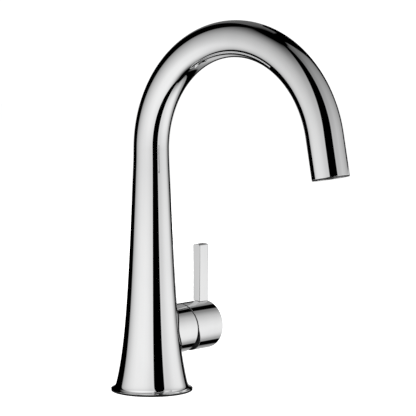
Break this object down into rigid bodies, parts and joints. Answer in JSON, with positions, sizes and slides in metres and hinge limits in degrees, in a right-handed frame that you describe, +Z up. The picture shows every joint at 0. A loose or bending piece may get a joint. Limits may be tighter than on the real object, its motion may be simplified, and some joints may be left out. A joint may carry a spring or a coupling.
{
  "type": "single lever kitchen faucet",
  "caption": "Chrome kitchen faucet with a flared conical column, high arched spout with a pull-down wand hidden in its tip, and a round side valve with a flat lever.",
  "frame": {"origin": "centre of the faucet's base on the plane of the sink deck that it is clamped to", "axes": "+Z up along the column, -Y the way the spout reaches (toward the user), +X the side that the valve and lever are on"},
  "size_m": [0.1228, 0.2836, 0.4404],
  "materials": {
    "chrome": "mirror-polished chrome plate",
    "brass": "turned brass",
    "steel": "zinc-plated or stainless steel",
    "copper": "drawn copper tube",
    "rubber": "moulded black rubber",
    "dark_plastic": "moulded acetal",
    "white_plastic": "moulded acetal",
    "ceramic": "lapped alumina",
    "hose": "braided nylon sleeve"
  },
  "bodies": {
    "base": {"deck_ring": "chrome", "deck_gasket": "rubber", "stop_pin": "steel", "threaded_shank": "brass", "swivel_nut": "brass", "clamp_gasket": "rubber", "clamp_washer": "steel", "clamp_nut": "brass"},
    "column": {"swivel_bush": "white_plastic", "column_body": "chrome", "spout_tube": "chrome", "valve_housing": "chrome", "cold_inlet_tube": "copper", "hot_inlet_tube": "copper", "mixed_outlet_tube": "copper", "port_gasket": "rubber", "cartridge_base": "dark_plastic", "cartridge_case": "white_plastic", "fixed_disc": "ceramic", "cartridge_nut": "brass", "dock_bush": "dark_plastic", "wand_hose": "hose"},
    "turntable": {"stem_guide": "white_plastic", "stem_pin": "steel"},
    "disc": {"moving_disc": "ceramic", "disc_carrier": "dark_plastic"},
    "handle": {"stem": "steel", "stem_screw": "steel", "handle_cap": "chrome", "lever_bar": "chrome"},
    "hose_end": {"hose_nut": "brass", "hose_tail": "hose"},
    "wand": {"wand_collar": "chrome", "wand_body": "dark_plastic", "aerator": "white_plastic", "aerator_screen": "steel", "aerator_seal": "rubber", "check_valve": "white_plastic"}
  },
  "joints": [
    {"name": "column_swivel", "type": "hinge", "parent": "base", "child": "column", "pos_m": [0, 0, 0], "axis": [0, 0, 1], "range_deg": [-80, 80]},
    {"name": "temperature_turn", "type": "hinge", "parent": "column", "child": "turntable", "pos_m": [0, 0, 0.05814], "axis": [1, 0, 0], "range_deg": [-45, 45]},
    {"name": "flow_tilt", "type": "hinge", "parent": "turntable", "child": "handle", "pos_m": [0.034, 0, 0.05814], "axis": [0, 1, 0], "range_deg": [0, 20]},
    {"name": "disc_slide", "type": "slide", "parent": "turntable", "child": "disc", "axis": [0, 0, 1], "range_m": [0, 0.0038]},
    {"name": "wand_pull", "type": "slide", "parent": "column", "child": "hose_end", "axis": [0, -0.1891, -0.982], "range_m": [0, 0.18], "stiffness_N_per_m": 3, "springref_m": -1.5},
    {"name": "wand_turn", "type": "hinge", "parent": "hose_end", "child": "wand", "pos_m": [0, -0.22502, 0.22447], "axis": [0, -0.1891, -0.982], "continuous": true}
  ],
  "couplings": [
    {"joint": "disc_slide", "follows": "flow_tilt", "m_per_rad": 0.0107}
  ]
}
